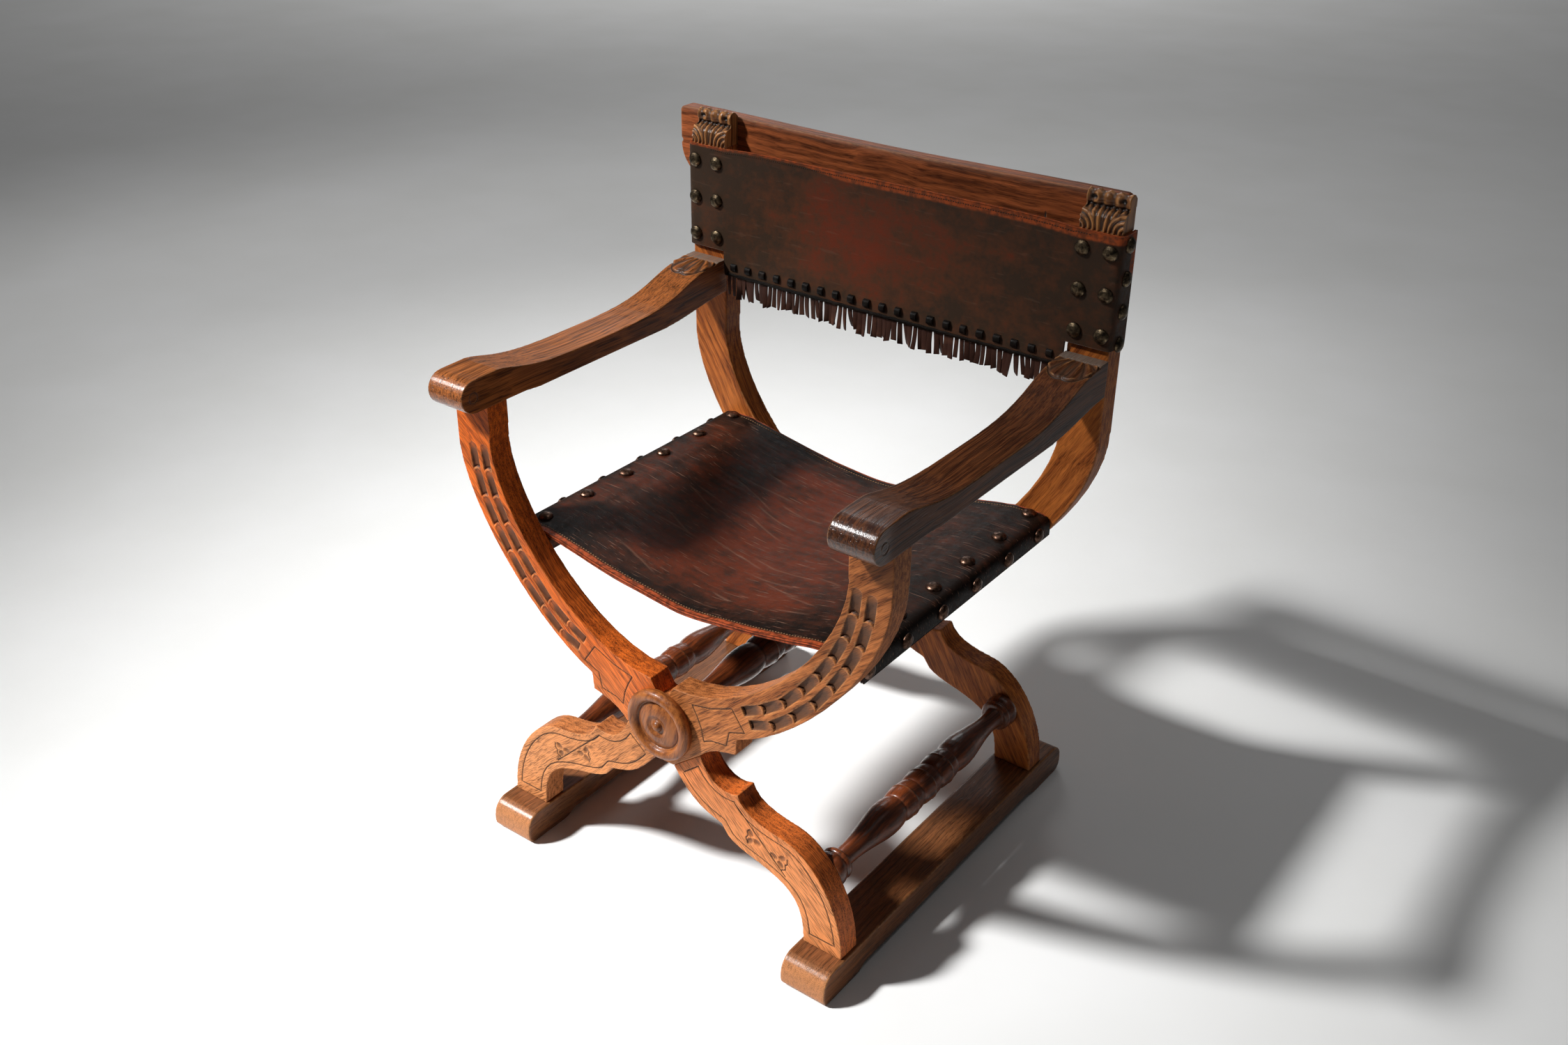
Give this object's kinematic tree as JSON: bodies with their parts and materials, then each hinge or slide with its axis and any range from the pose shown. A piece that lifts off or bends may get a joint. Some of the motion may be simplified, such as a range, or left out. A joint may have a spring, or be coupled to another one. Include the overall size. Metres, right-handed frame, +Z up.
{
  "type": "X-frame throne armchair",
  "caption": "Crossed-frame armchair in carved oak, with a slung leather seat and back, domed brass nails, sledge feet and turned stretchers.",
  "frame": {"origin": "on the floor, under the middle of the overall box", "axes": "+Z up, +Y from the front to the back, +X to the viewer's right when facing the chair"},
  "size_m": [0.7168, 0.608, 0.906],
  "materials": {
    "oak": "stained and waxed oak, satin, darker on the arms and in the carving",
    "leather": "dark brown waxed leather, worn red-brown at the edges",
    "brass": "aged brass, dark and semi-gloss",
    "iron": "dark, dull"
  },
  "bodies": {
    "root": {"front_member_a": "oak", "front_member_b": "oak", "rear_member_a": "oak", "rear_member_b": "oak", "runner_left": "oak", "runner_right": "oak", "arm_left": "oak", "arm_right": "oak", "stretcher_middle": "oak", "stretcher_left": "oak", "stretcher_right": "oak", "seat_rail_left": "oak", "seat_rail_right": "oak", "boss_front": "oak", "boss_rear": "oak", "crest_board": "oak", "finial_left": "oak", "finial_right": "oak", "crest_screws": "iron", "seat_leather": "leather", "back_leather": "leather", "back_lacing": "leather", "back_fringe": "leather", "seat_nails_left": "brass", "seat_nails_right": "brass", "back_nails_left": "brass", "back_nails_right": "brass"}
  },
  "joints": []
}
